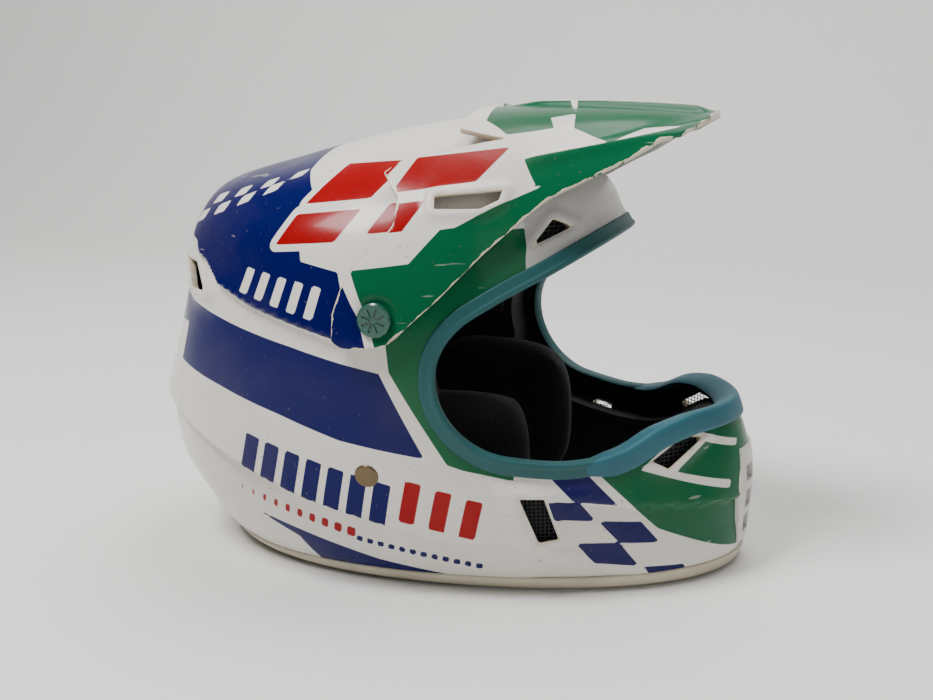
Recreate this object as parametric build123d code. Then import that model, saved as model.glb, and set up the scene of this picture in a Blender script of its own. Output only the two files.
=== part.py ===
"""Motocross helmet: one shell with a chin bar, its padding, a tilting visor and the chin strap.

Millimetres. +X is the wearer's front, +Y the wearer's left, +Z up. The helmet stands on its lower
rim at z = 0 with the origin at the middle of its box.
"""
import math
import os
from functools import cache

from build123d import *

# ---------------------------------------------------------------- driving dimensions
# Outer form of the shell as level sections: height, rear x, front x, half width, x of the widest
# place, roundness of the rear half and roundness of the front half (2 is an ellipse).
SHELL_ROWS = [
    (0.0, -118, 161, 86, 4, 2.20, 2.05),
    (12.0, -139, 167, 97, 0, 2.15, 2.00),
    (30.0, -153, 168, 107, -4, 2.10, 1.90),
    (50.0, -166, 169, 114, -8, 2.05, 1.80),
    (70.0, -171, 166, 118, -10, 2.00, 1.75),
    (100.0, -167, 154, 121, -12, 2.00, 1.80),
    (130.0, -160, 134, 121, -14, 2.00, 1.90),
    (160.0, -153, 114, 119, -16, 2.00, 2.00),
    (187.0, -146, 96, 110, -18, 2.10, 2.10),
    (205.0, -130, 88, 96, -12, 2.10, 2.20),
    (222.0, -80, 70, 72, 0, 2.10, 2.20),
    (235.0, -30, 42, 38, 6, 2.00, 2.10),
    (240.3, -6, 18, 13, 6, 2.00, 2.00),
]
SHELL_HEIGHT = 241.0
FORM_HALF_LENGTH = 170.0
FORM_HALF_WIDTH = 121.0
SECTION_POINTS = 28

WALL = 4.0
SHELL_FOOT = 3.0
RIM_HEIGHT = 10.0
RIM_PROUD = 1.3
RIM_DEPTH = 6.5

# Eye opening of the shell in side view, from the brow round the temple to the chin bar.
EYEPORT_CURVE = [
    (97, 185), (72, 170.5), (48, 157), (31, 145), (22, 131), (20, 117), (24, 101),
    (34, 87), (48, 77.5), (66, 73.5), (92, 72), (112, 78), (130, 92), (145, 99),
]
TRIM_OVERLAP = 5.5
TRIM_LIP = 3.5
TRIM_PROUD = 1.5
TRIM_DEPTH = 7.0
NOSE_GUARD_START = 99.0
NOSE_GUARD_OVERLAP = 11.0
NOSE_GUARD_PROUD = 3.0
NOSE_GUARD_DEPTH = 13.0

# Head space: an ellipsoid over an upright oval, with the thickness of each lining around it.
HEAD_CENTRE = (-17.0, 0.0, 100.0)
HEAD_RADII = (98.0, 77.0, 99.0)
COMFORT_THICKNESS = 7.4
COMFORT_GAP = 0.3
CHIN_LINER_THICKNESS = 17.0

VENT_MESH_THICKNESS = 1.0
VENT_MESH_MARGIN = 2.5
SIDE_VENT = [(62, 58), (74, 56), (81, 33), (71, 33)]
CHIN_VENT = [(123.5, 71.5), (138, 82), (146.5, 79.5), (131, 66.5)]
BROW_VENT = [(63, 182), (70.5, 194.5), (79, 190)]
REAR_VENT = [(-134, 166), (-121, 166), (-112, 152), (-125, 152)]
MOUTH_VENT = [(-17, 67), (17, 67), (24, 46), (19, 15), (-19, 15), (-24, 46)]
MOUTH_VENT_PROUD = 1.8

# Visor: arched upright sections: x, half width, rise, top height and roundness.
VISOR_ROWS = [
    (-34.0, 128.5, 126, 244.5, 2.40),
    (0.0, 127.5, 127, 247.0, 2.40),
    (30.0, 120.0, 124, 248.5, 2.35),
    (60.0, 103.0, 112, 249.5, 2.20),
    (90.0, 84.0, 84, 249.5, 2.10),
    (120.0, 65.0, 50, 248.5, 2.00),
    (150.0, 47.0, 28, 246.5, 2.00),
]
VISOR_WALL = 2.8
VISOR_FLOOR = 90.0
# Outline of the visor in side view, clockwise from the ear's lower rear corner.
VISOR_OUTLINE = [
    (-27, 137), (-27, 151), (-23, 164), (-17, 174), (-6, 185), (0, 194), (0, 207), (-11, 218),
    (-3, 224), (10, 227.5), (44, 234), (19, 238.5), (17, 262), (146, 262), (143, 243),
    (131, 236), (120, 233), (104, 223.5), (91, 217), (71, 206), (60, 196), (43, 179), (26, 160),
    (7, 142), (0, 136.5), (-12, 134),
]
VISOR_VENT = [(20, 201), (19, 207), (49, 209), (45, 202)]

PIVOT = (-5.0, 149.0)
SCREW_HEAD_RADIUS = 8.6
SCREW_HEAD_HEIGHT = 3.4
SCREW_RADIUS = 3.0
SCREW_SEAT_Y = 125.2
SCREW_END_Y = 109.0
RUNNING_GAP = 0.06
NUT_BARREL_RADIUS = 4.9
NUT_FLANGE_RADIUS = 8.5
NUT_FLANGE_THICKNESS = 1.6
NUT_Y = 111.6
NUT_END_Y = 119.0

CENTRE_SCREW_RADIUS = 2.5
CENTRE_HEAD_RADIUS = 5.6
CENTRE_HEAD_HEIGHT = 2.4
CENTRE_ANGLE = 20.8
CENTRE_REACH = 103.0
CENTRE_PAD = (15.0, 15.0, 2.0)
CENTRE_SLOT_TRAVEL = 4.8

RIVET_AT = (-13.0, 117.6, 67.0)
RIVET_TILT = 11.3
RIVET_HEAD_RADIUS = 6.5
RIVET_HEAD_HEIGHT = 2.0
RIVET_RADIUS = 2.5

STRAP_WIDTH = 20.0
STRAP_THICKNESS = 1.6
STRAP_PIVOT = (76.0, 12.0)
RING_WIRE_RADIUS = 1.5
RING_HEIGHT = 3.4
RING_BAR_Y = 31.0
SNAP_Y = 34.0

OUT = "parts"


# ---------------------------------------------------------------- shared shapes
def level_section(row, inset):
    """Closed curve round the helmet at one height, moved inwards by inset."""
    z, rear, front, half_width, widest, rear_n, front_n = row
    sx = 1 - inset / FORM_HALF_LENGTH
    sy = 1 - inset / FORM_HALF_WIDTH
    sz = 1 - inset / SHELL_HEIGHT
    points = []
    for i in range(SECTION_POINTS):
        angle = math.pi + 2 * math.pi * i / SECTION_POINTS
        c, s = math.cos(angle), math.sin(angle)
        reach = front - widest if c > 0 else widest - rear
        n = front_n if c > 0 else rear_n
        x = widest + reach * math.copysign(abs(c) ** (2 / n), c)
        y = half_width * math.copysign(abs(s) ** (2 / n), s)
        points.append((x * sx, y * sy, z * sz))
    return Wire([Edge.make_spline(points, periodic=True)])


@cache
def form(inset):
    """Solid inside the helmet's outer surface moved inwards by inset, from the floor up."""
    return Solid.make_loft([level_section(row, inset) for row in SHELL_ROWS])


@cache
def skin(outer, inner):
    """Layer that follows the helmet between two insets."""
    foot = Pos(0, 0, -5) * extrude(Face(level_section(SHELL_ROWS[0], inner)), 5.02)
    return form(outer) - form(inner) - foot


def side_prism(outline, reach=160, curve=False):
    """Solid with an outline drawn in side view (x, z), through both sides."""
    edge = Spline(*outline) + Line(outline[-1], outline[0]) if curve else Polyline(*outline, close=True)
    return extrude(Plane.XZ * make_face(edge), amount=reach, both=True)


def front_prism(outline, x_from, x_to):
    """Solid with an outline drawn in front view (y, z), between two x."""
    return extrude(Plane.YZ.offset(x_from) * make_face(Polyline(*outline, close=True)), x_to - x_from)


def grown(outline, amount):
    """Polygon with every corner moved outwards from its middle by amount."""
    cx = sum(p[0] for p in outline) / len(outline)
    cz = sum(p[1] for p in outline) / len(outline)
    result = []
    for x, z in outline:
        length = math.hypot(x - cx, z - cz)
        result.append((x + (x - cx) * amount / length, z + (z - cz) * amount / length))
    return result


def eyeport_edge(amount):
    """The eye opening's curve moved outwards, away from the opening, by amount."""
    moved = []
    last = len(EYEPORT_CURVE) - 1
    for i, (x, z) in enumerate(EYEPORT_CURVE):
        before = EYEPORT_CURVE[max(i - 1, 0)]
        after = EYEPORT_CURVE[min(i + 1, last)]
        dx, dz = after[0] - before[0], after[1] - before[1]
        length = math.hypot(dx, dz)
        moved.append((x + dz * amount / length, z - dx * amount / length))
    return moved


def eyeport(amount=0.0):
    """Solid that fills the eye opening, grown by amount."""
    curve = eyeport_edge(amount)
    edge = Spline(*curve) + Polyline(curve[-1], (240, curve[-1][1]), (240, curve[0][1]), curve[0])
    return extrude(Plane.XZ * make_face(edge), amount=160, both=True)


def box_between(x0, x1, y0, y1, z0, z1):
    size = (abs(x1 - x0), abs(y1 - y0), abs(z1 - z0))
    return Pos((x0 + x1) / 2, (y0 + y1) / 2, (z0 + z1) / 2) * Box(*size)


def head_form(grow):
    """Head space grown by a lining's thickness: ellipsoid above, upright oval below."""
    rx, ry, rz = (radius + grow for radius in HEAD_RADII)
    dome = Pos(*HEAD_CENTRE) * scale(Sphere(1), by=(rx, ry, rz))
    oval = Pos(HEAD_CENTRE[0], 0, -5) * extrude(Ellipse(rx, ry), HEAD_CENTRE[2] + 5)
    return dome + oval


def both_sides(solid):
    """The given left-hand solid and its mirror image, right first."""
    return mirror(solid, about=Plane.XZ), solid


def cylinder_y(x, z, radius, y0, y1):
    return Pos(x, (y0 + y1) / 2, z) * Rot(90, 0, 0) * Cylinder(radius, abs(y1 - y0))


def split_sides(shape):
    """The right-hand and left-hand solids of a mirrored pair."""
    right = shape & box_between(-300, 300, -200, 0, -50, 300)
    left = shape & box_between(-300, 300, 0, 200, -50, 300)
    return right, left


def write(name, shape):
    shape.label = name
    export_step(shape, os.path.join(OUT, name + ".step"))


# ---------------------------------------------------------------- shell and what is set in it
def vent_cuts():
    cuts = [side_prism(v) for v in (SIDE_VENT, CHIN_VENT, BROW_VENT, REAR_VENT)]
    return cuts + [front_prism(MOUTH_VENT, 120, 200)]


def centre_frame(reach):
    """Frame on the line from the visor's hinge through the centre screw, z outwards."""
    a = math.radians(CENTRE_ANGLE)
    origin = (PIVOT[0] + reach * math.sin(a), 0, PIVOT[1] + reach * math.cos(a))
    return Plane(origin=origin, x_dir=(math.cos(a), 0, -math.sin(a)), z_dir=(math.sin(a), 0, math.cos(a)))


def shell_top_reach():
    """Distance from the hinge line to the shell's outer face under the centre screw."""
    return CENTRE_REACH - 8.0


def outer_shell(rivet_holes):
    shell = skin(0, WALL) - eyeport() - box_between(-300, 300, -200, 200, -10, SHELL_FOOT)
    for cut in vent_cuts():
        shell -= cut
    hole = NUT_BARREL_RADIUS
    for side in (-1, 1):
        shell -= cylinder_y(*PIVOT, hole, 100 * side, 130 * side)
    shell -= centre_frame(CENTRE_REACH - 30) * extrude(Circle(hole), 40)
    return shell - rivet_holes


def neck_edge_trim(shell):
    band = skin(-RIM_PROUD, RIM_DEPTH) & box_between(-300, 300, -200, 200, 0, RIM_HEIGHT)
    return band - shell


def eyeport_trim(shell):
    band = skin(-TRIM_PROUD, TRIM_DEPTH) & (eyeport(TRIM_OVERLAP) - eyeport(-TRIM_LIP))
    return band - shell - box_between(NOSE_GUARD_START, 300, -200, 200, 0, 140)


def nose_guard(shell):
    band = skin(-NOSE_GUARD_PROUD, NOSE_GUARD_DEPTH) & (eyeport(NOSE_GUARD_OVERLAP) - eyeport(-TRIM_LIP))
    return (band & box_between(NOSE_GUARD_START, 300, -200, 200, 0, 140)) - shell


def vent_mesh(outline):
    layer = skin(WALL, WALL + VENT_MESH_THICKNESS)
    return split_sides(layer & side_prism(grown(outline, VENT_MESH_MARGIN)))


def mouth_vent():
    plug = skin(-MOUTH_VENT_PROUD, WALL) & front_prism(MOUTH_VENT, 120, 200)
    for low, high in ((19, 28.5), (33, 43), (48, 57)):
        for side in (-1, 1):
            window = [(side * y, z) for y, z in ((3, low), (3, high), (14, high), (14, low))]
            plug -= front_prism(window, 120, 200)
    return plug


def mouth_vent_mesh():
    return skin(WALL, WALL + VENT_MESH_THICKNESS) & front_prism(grown(MOUTH_VENT, VENT_MESH_MARGIN), 120, 200)


# ---------------------------------------------------------------- linings
def impact_liner(pockets):
    cup = form(WALL) - head_form(COMFORT_THICKNESS + 2 * COMFORT_GAP)
    cup -= eyeport(TRIM_OVERLAP + 2.5)
    cup -= box_between(14, 300, -200, 200, -10, 120)
    cup -= box_between(-300, 300, -200, 200, -10, RIM_HEIGHT + 3)
    return cup - pockets


def chin_bar_liner(pockets):
    bar = skin(WALL, WALL + CHIN_LINER_THICKNESS) & box_between(40, 300, -200, 200, RIM_HEIGHT + 3, 90)
    return bar - eyeport(NOSE_GUARD_OVERLAP + 4) - pockets


def comfort_liner():
    cap = head_form(COMFORT_THICKNESS + COMFORT_GAP) - head_form(0)
    cap -= box_between(-300, 300, -200, 200, -10, 112)
    return cap - eyeport(TRIM_OVERLAP + 3)


def cheek_pad():
    """Left cheek pad: the space between the impact liner and the cheek."""
    pad = head_form(COMFORT_THICKNESS + COMFORT_GAP) - (Pos(-17, 0, -5) * extrude(Ellipse(108, 57), 130))
    return pad & box_between(-42, 58, 0, 200, 17, 104)


def neck_roll():
    roll = head_form(COMFORT_THICKNESS + COMFORT_GAP) - head_form(-9)
    return roll & box_between(-300, -48, -200, 200, 15, 58)


def pad_snaps():
    """Press studs between the left cheek pad and the impact liner."""
    studs = [cylinder_y(x, z, 4.5, 79.5, 87.5) for x in (-32, 2) for z in (34, 88)]
    return studs


def liner_snaps():
    """Press studs that hold the crown pad at its rear and sides."""
    studs = []
    for angle in (130, 180, 230):
        a = math.radians(angle)
        x = HEAD_CENTRE[0] + (HEAD_RADII[0] + 8) * math.cos(a)
        y = (HEAD_RADII[1] + 8) * math.sin(a)
        frame = Plane(origin=(x, y, 124), z_dir=(math.cos(a), math.sin(a) * 1.25, 0))
        studs.append(frame * Pos(0, 0, -0.5) * Cylinder(4.5, 7))
    return studs


# ---------------------------------------------------------------- visor and its screws
def visor_section(row, inset):
    x, half_width, rise, top, n = row
    w, h = half_width - inset, rise - inset
    base = top - rise
    arch = []
    steps = 14
    for i in range(steps + 1):
        angle = math.pi * i / steps
        c, s = math.cos(angle), math.sin(angle)
        arch.append((x, w * math.copysign(abs(c) ** (2 / n), c), base + h * abs(s) ** (2 / n)))
    right, left = arch[-1], arch[0]
    low_right, low_left = (x, right[1], VISOR_FLOOR), (x, left[1], VISOR_FLOOR)
    edges = [Edge.make_spline(arch), Edge.make_line(right, low_right)]
    edges += [Edge.make_line(low_right, low_left), Edge.make_line(low_left, left)]
    return Wire(edges)


def visor():
    outer = Solid.make_loft([visor_section(row, 0) for row in VISOR_ROWS])
    inner = Solid.make_loft([visor_section(row, VISOR_WALL) for row in VISOR_ROWS])
    body = (outer - inner) & side_prism(VISOR_OUTLINE)
    body -= side_prism(VISOR_VENT)
    pad_x, pad_y, pad_z = CENTRE_PAD
    seat = centre_frame(CENTRE_REACH)
    body -= seat * Pos(0, 0, 10) * Box(pad_x, pad_y, 20)
    body += seat * Pos(0, 0, -pad_z / 2) * Box(pad_x + 3, pad_y + 3, pad_z)
    slot = SlotCenterToCenter(2 * CENTRE_SLOT_TRAVEL, 2 * (CENTRE_SCREW_RADIUS + 0.3))
    body -= seat * Pos(0, 0, -10) * extrude(slot, 20)
    for side in (-1, 1):
        body -= cylinder_y(*PIVOT, SCREW_RADIUS + RUNNING_GAP, 100 * side, 140 * side)
        body -= cylinder_y(*PIVOT, SCREW_HEAD_RADIUS + 0.5, SCREW_SEAT_Y * side, 140 * side)
    return body


def side_screw():
    """Left visor screw: a wide slotted head and its shank."""
    face_y = SCREW_SEAT_Y + RUNNING_GAP
    head = cylinder_y(*PIVOT, SCREW_HEAD_RADIUS, face_y, face_y + SCREW_HEAD_HEIGHT)
    head = chamfer(head.edges().sort_by(Axis.Y)[-1], 0.8)
    grooves = []
    for i in range(4):
        groove = Pos(PIVOT[0], face_y + SCREW_HEAD_HEIGHT, PIVOT[1]) * Rot(0, 45 * i + 20, 0)
        grooves.append(groove * Box(12.5, 1.4, 1.3))
    shank = cylinder_y(*PIVOT, SCREW_RADIUS, SCREW_END_Y, face_y + 0.5)
    screw = head + shank
    for groove in grooves:
        screw -= groove
    return screw


def centre_screw():
    seat = centre_frame(CENTRE_REACH + 0.3)
    head = seat * extrude(Circle(CENTRE_HEAD_RADIUS), CENTRE_HEAD_HEIGHT)
    shank = seat * Pos(0, 0, -17) * extrude(Circle(CENTRE_SCREW_RADIUS), 17.5)
    socket = seat * Pos(0, 0, CENTRE_HEAD_HEIGHT - 1.4) * extrude(RegularPolygon(2.3, 6), 2)
    return head + shank - socket


def visor_nuts():
    """Three flanged nuts set in the shell from the inside."""
    bore = SCREW_RADIUS + RUNNING_GAP
    nuts = []
    for side in (-1, 1):
        flange_y = NUT_Y + NUT_FLANGE_THICKNESS
        nut = cylinder_y(*PIVOT, NUT_BARREL_RADIUS, NUT_Y * side, NUT_END_Y * side)
        nut += cylinder_y(*PIVOT, NUT_FLANGE_RADIUS, NUT_Y * side, flange_y * side)
        nuts.append(nut - cylinder_y(*PIVOT, bore, 100 * side, 130 * side))
    reach = shell_top_reach() - 7.4
    frame = centre_frame(reach)
    nut = frame * extrude(Circle(NUT_BARREL_RADIUS), 6.4)
    nut += frame * extrude(Circle(NUT_FLANGE_RADIUS), NUT_FLANGE_THICKNESS)
    nut -= frame * Pos(0, 0, -10) * extrude(Circle(CENTRE_SCREW_RADIUS + RUNNING_GAP), 30)
    return nuts + [nut]


# ---------------------------------------------------------------- chin strap
def rivet_frame():
    """Frame on the shell at the left strap rivet: z outwards, y down along the wall."""
    t = math.radians(RIVET_TILT)
    return Plane(origin=RIVET_AT, x_dir=(1, 0, 0), z_dir=(0, math.cos(t), -math.sin(t)))


def strap_rivet():
    frame = rivet_frame()
    dome = frame * Pos(0, 0, 0.1) * extrude(Circle(RIVET_HEAD_RADIUS), RIVET_HEAD_HEIGHT)
    dome = fillet(dome.edges().sort_by(Axis.Y)[-1], 1.2)
    shank = frame * Pos(0, 0, -9.4) * extrude(Circle(RIVET_RADIUS), 9.6)
    tail = frame * Pos(0, 0, -9.6) * extrude(Circle(4.5), 1.2)
    return dome + shank + tail


def strap_anchor():
    frame = rivet_frame()
    plate = frame * Pos(0, 8, -6.6) * extrude(RectangleRounded(22, 32, 4), 2.0)
    return plate - frame * Pos(0, 0, -20) * extrude(Circle(RIVET_RADIUS), 40)


def webbing(points, radius):
    """Left-hand webbing along a route in the (y, z) plane, centred on the rivet's x."""
    path = Plane.YZ.offset(RIVET_AT[0]) * FilletPolyline(*points, radius=radius)
    start = path.edges()[0]
    frame = Plane(origin=path @ 0, x_dir=(1, 0, 0), z_dir=path % 0)
    return sweep(frame * Rectangle(STRAP_WIDTH, STRAP_THICKNESS), path=path)


def strap_upper():
    """Captive webbing from the rivet down to the lower edge of the liner."""
    frame = rivet_frame()
    top = frame.from_local_coords((0, -8, -7.5))
    low = frame.from_local_coords((0, 30, -7.5))
    y, z = STRAP_PIVOT
    points = [(top.Y, top.Z), (low.Y, low.Z), (96, 22), (88, 14.5), (y + 1.6, z + 1.0)]
    strip = webbing(points, 4.0)
    return strip - frame * Pos(0, 0, -20) * extrude(Circle(RIVET_RADIUS), 40)


def strap_short():
    """Left free webbing, sewn round the straight bars of the two rings."""
    y, z = STRAP_PIVOT
    strip = webbing([(y, z), (y - 8, 3.4), (y - 18, 1.4), (RING_BAR_Y + 5.3, 1.25)], 4.0)
    loop = SlotCenterToCenter(3.6, 6.2) - SlotCenterToCenter(3.6, 2 * (RING_WIRE_RADIUS + 0.08))
    loop_face = Plane.YZ.offset(RIVET_AT[0]) * Pos(RING_BAR_Y + 1.8, RING_HEIGHT) * loop
    ring_loop = extrude(loop_face, STRAP_WIDTH / 2, both=True)
    return strip + ring_loop


def d_ring(bar_y, half_width, length):
    """Ring lying flat with its straight bar at bar_y and its bow towards the middle."""
    x = RIVET_AT[0]
    left, right, bow_y = x - half_width, x + half_width, bar_y - length
    corners = [(left, bar_y), (right, bar_y), (right, bow_y), (left, bow_y)]
    outline = FilletPolyline(*corners, radius=[2, 2, 7, 7], close=True)
    path = Pos(0, 0, RING_HEIGHT) * outline
    frame = Plane(origin=path @ 0, z_dir=path % 0)
    return sweep(frame * Circle(RING_WIRE_RADIUS), path=path)


def strap_snap():
    """Press stud that holds the long webbing folded back, on the right."""
    x = RIVET_AT[0]
    stud = Pos(x, -SNAP_Y, 2.9) * Cylinder(5.0, 1.6)
    stud += Pos(x, -SNAP_Y, 4.0) * Cylinder(2.2, 1.6)
    socket = Pos(x, -SNAP_Y, 5.4) * Cylinder(5.5, 2.2) - Pos(x, -SNAP_Y, 4.0) * Cylinder(2.2, 1.64)
    return stud, socket


def strap_long():
    """Right free webbing, folded back on itself and closed with a press stud (left-hand shape)."""
    y, z = STRAP_PIVOT
    route = [(y, z), (y - 8, 3.4), (y - 18, 1.4), (40, 1.2), (-4, 1.2), (-4, 8.0), (46, 7.0)]
    return webbing(route, 3.2)


def write_pair(name, left):
    """Write a left-hand piece and its mirror image as name_right and name_left."""
    right, left = both_sides(left)
    write(name + "_right", right)
    write(name + "_left", left)


def write_shell(rivet_holes):
    shell = outer_shell(rivet_holes)
    write("outer_shell", shell)
    write("neck_edge_trim", neck_edge_trim(shell))
    write("eyeport_trim", eyeport_trim(shell))
    write("nose_guard", nose_guard(shell))
    write("mouth_vent", mouth_vent())
    write("mouth_vent_mesh", mouth_vent_mesh())
    vents = {"side_vent_mesh": SIDE_VENT, "chin_vent_mesh": CHIN_VENT,
             "brow_vent_mesh": BROW_VENT, "rear_vent_mesh": REAR_VENT}
    for name, outline in vents.items():
        right, left = vent_mesh(outline)
        write(name + "_right", right)
        write(name + "_left", left)


def liner_pockets():
    """Hollows moulded in the foam for vents, nuts, strap plates, straps and press studs."""
    layer = form(WALL) - form(WALL + VENT_MESH_THICKNESS + 3)
    pockets = []
    for outline in (SIDE_VENT, CHIN_VENT, BROW_VENT, REAR_VENT):
        pockets.append(layer & side_prism(grown(outline, VENT_MESH_MARGIN + 1)))
    pockets.append(layer & front_prism(grown(MOUTH_VENT, VENT_MESH_MARGIN + 1), 120, 200))
    for side in (-1, 1):
        pockets.append(cylinder_y(*PIVOT, NUT_FLANGE_RADIUS + 1, 108 * side, 125 * side))
        pockets.append(box_between(-27, 1, 93 * side, 130 * side, -5, 82))
        pockets.append(box_between(-27, 1, 80 * side, 130 * side, -5, 27))
    pockets.append(centre_frame(CENTRE_REACH - 30) * extrude(Circle(NUT_FLANGE_RADIUS + 1), 40))
    return pockets


def write_linings():
    left_studs = pad_snaps()
    right_studs = [mirror(stud, about=Plane.XZ) for stud in left_studs]
    crown_studs = liner_snaps()
    crown = comfort_liner()
    cheek = cheek_pad()
    cup_pockets = liner_pockets() + left_studs + right_studs + crown_studs
    write("impact_liner", impact_liner(cup_pockets))
    write("chin_bar_liner", chin_bar_liner(liner_pockets()))
    write("comfort_liner", crown - crown_studs)
    write_pair("cheek_pad", cheek - left_studs)
    write("neck_roll", neck_roll())
    write("cheek_pad_snaps", Compound(children=right_studs + left_studs))
    write("comfort_liner_snaps", Compound(children=crown_studs))


def write_strap():
    write_pair("strap_rivet", strap_rivet())
    write_pair("strap_anchor", strap_anchor())
    write_pair("strap_webbing_upper", strap_upper())
    write("strap_webbing_short", strap_short())
    stud, socket = strap_snap()
    long_strap = mirror(strap_long(), about=Plane.XZ)
    write("strap_webbing_long", long_strap - stud - socket)
    write("strap_snap_stud", stud)
    write("strap_snap_socket", socket)
    write("d_ring_small", d_ring(RING_BAR_Y, 12.2, 16))
    write("d_ring_large", d_ring(RING_BAR_Y + 3.6, 16.0, 23.2))


def main():
    os.makedirs(OUT, exist_ok=True)
    rivet_hole = rivet_frame() * Pos(0, 0, -20) * extrude(Circle(RIVET_RADIUS), 40)
    write_shell(list(both_sides(rivet_hole)))
    write_linings()
    write("visor", visor())
    write_pair("visor_side_screw", side_screw())
    write("visor_centre_screw", centre_screw())
    write("visor_nuts", Compound(children=visor_nuts()))
    write_strap()


main()
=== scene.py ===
"""Looks of the motocross helmet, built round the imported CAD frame.

Lengths in the tables below are millimetres in the CAD frame: +X forward, +Y the wearer's left, +Z up.
Meshes are written in metres. The right and left sides are mirror images about Y = 0.
"""
import math

import bmesh
import bpy
import numpy as np
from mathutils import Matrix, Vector


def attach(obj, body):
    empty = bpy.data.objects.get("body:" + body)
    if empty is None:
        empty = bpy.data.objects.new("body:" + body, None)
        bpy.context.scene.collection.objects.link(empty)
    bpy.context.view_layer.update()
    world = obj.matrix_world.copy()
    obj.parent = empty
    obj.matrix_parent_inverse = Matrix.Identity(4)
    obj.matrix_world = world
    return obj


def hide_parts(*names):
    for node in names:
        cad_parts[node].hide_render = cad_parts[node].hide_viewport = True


MM = 0.001
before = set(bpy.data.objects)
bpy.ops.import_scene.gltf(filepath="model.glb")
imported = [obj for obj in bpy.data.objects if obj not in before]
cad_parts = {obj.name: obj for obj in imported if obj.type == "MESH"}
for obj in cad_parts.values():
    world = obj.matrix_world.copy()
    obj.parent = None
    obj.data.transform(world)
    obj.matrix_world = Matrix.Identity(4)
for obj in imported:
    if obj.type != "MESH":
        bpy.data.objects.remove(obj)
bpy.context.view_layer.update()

# ---------------------------------------------------------------- driving dimensions
# height, rear x, front x, half width, x of the widest place, rear roundness, front roundness
SHELL_ROWS = np.array([
    (0.0, -118, 161, 86, 4, 2.20, 2.05),
    (12.0, -139, 167, 97, 0, 2.15, 2.00),
    (30.0, -153, 168, 107, -4, 2.10, 1.90),
    (50.0, -166, 169, 114, -8, 2.05, 1.80),
    (70.0, -171, 166, 118, -10, 2.00, 1.75),
    (100.0, -167, 154, 121, -12, 2.00, 1.80),
    (130.0, -160, 134, 121, -14, 2.00, 1.90),
    (160.0, -153, 114, 119, -16, 2.00, 2.00),
    (187.0, -146, 96, 110, -18, 2.10, 2.10),
    (205.0, -130, 88, 96, -12, 2.10, 2.20),
    (222.0, -80, 70, 72, 0, 2.10, 2.20),
    (235.0, -30, 42, 38, 6, 2.00, 2.10),
    (241.0, 6, 6, 0, 6, 2.00, 2.00),
])
SHELL_HEIGHT = 241.0
FORM_HALF = (170.0, 121.0, 241.0)
WALL = 4.0
SHELL_FOOT = 3.0
STRAP_WIDTH = 20.0
CLOTH_FRAMES = 14
CLOTH_PRESSURE = 4
STEP = 1.7

EYEPORT_CURVE = [
    (97, 185), (72, 170.5), (48, 157), (31, 145), (22, 131), (20, 117), (24, 101),
    (34, 87), (48, 77.5), (66, 73.5), (92, 72), (112, 76.5), (128, 86), (142, 90),
]
SIDE_VENT = [(62, 58), (74, 56), (81, 33), (71, 33)]
CHIN_VENT = [(123.5, 71.5), (138, 82), (146.5, 79.5), (131, 66.5)]
BROW_VENT = [(63, 182), (70.5, 194.5), (79, 190)]
REAR_VENT = [(-134, 166), (-121, 166), (-112, 152), (-125, 152)]
MOUTH_VENT = [(-17, 67), (17, 67), (24, 46), (19, 15), (-19, 15), (-24, 46)]
NOSE_GUARD_START = 99.0

# x, half width, rise, top height, roundness
VISOR_ROWS = np.array([
    (-34.0, 128.5, 126, 244.5, 2.40),
    (0.0, 127.5, 127, 247.0, 2.40),
    (30.0, 120.0, 124, 248.5, 2.35),
    (60.0, 103.0, 112, 249.5, 2.20),
    (90.0, 84.0, 84, 249.5, 2.10),
    (120.0, 65.0, 50, 248.5, 2.00),
    (150.0, 47.0, 28, 246.5, 2.00),
])
VISOR_WALL = 2.6
CREASE_SWELL = 4.0
LEDGE_SWELL = 4.2
INTAKE_SWELL = 3.6
VENT_LIP = 1.5
EXHAUST_HOOD = 3.2
VISOR_OUTLINE = [
    (-27, 137), (-27, 151), (-23, 164), (-17, 174), (-6, 185), (0, 194), (0, 207), (-11, 218),
    (-3, 224), (10, 227.5), (44, 234), (19, 238.5), (17, 262), (146, 262), (143, 243),
    (131, 236), (120, 233), (104, 223.5), (91, 217), (71, 206), (60, 196), (43, 179), (26, 160),
    (7, 142), (0, 136.5), (-12, 134), (-22, 134.5),
]
VISOR_VENT = [(19, 201), (18, 207), (49, 209.5), (48, 205), (40, 201)]
PIVOT = (-5.0, 149.0)
CAMERA_AT = (0.2158, -0.7334, 0.2712)
CAMERA_TO = (0.0055, 0.0, 0.109)
LENS = 52.0
STRAP_X = -13.0


# ---------------------------------------------------------------- numbers and curves
def smooth_table(xs, ys, q):
    """Smooth curve through a short table, read at q."""
    order = np.argsort(xs)
    x, y = np.asarray(xs, float)[order], np.asarray(ys, float)[order]
    step = np.diff(x)
    slope = np.diff(y) / step
    tangent = np.empty_like(y)
    tangent[1:-1] = (step[1:] * slope[:-1] + step[:-1] * slope[1:]) / (step[1:] + step[:-1])
    tangent[0] = 1.5 * slope[0] - 0.5 * tangent[1]
    tangent[-1] = 1.5 * slope[-1] - 0.5 * tangent[-2]
    q = np.asarray(q, float)
    k = np.clip(np.searchsorted(x, q) - 1, 0, len(x) - 2)
    t = (q - x[k]) / step[k]
    value = (1 + 2 * t) * (1 - t) ** 2 * y[k] + t * (1 - t) ** 2 * step[k] * tangent[k]
    return value + t * t * (3 - 2 * t) * y[k + 1] + t * t * (t - 1) * step[k] * tangent[k + 1]


def shell_row(z):
    """rear x, front x, half width, widest x, rear n and front n of the shell at height z."""
    w = np.sqrt(np.clip(1 - np.asarray(z, float) / SHELL_HEIGHT, 0, 1))
    table = np.sqrt(1 - SHELL_ROWS[:, 0] / SHELL_HEIGHT)
    return [smooth_table(table, SHELL_ROWS[:, j], w) for j in range(1, 7)]


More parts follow.
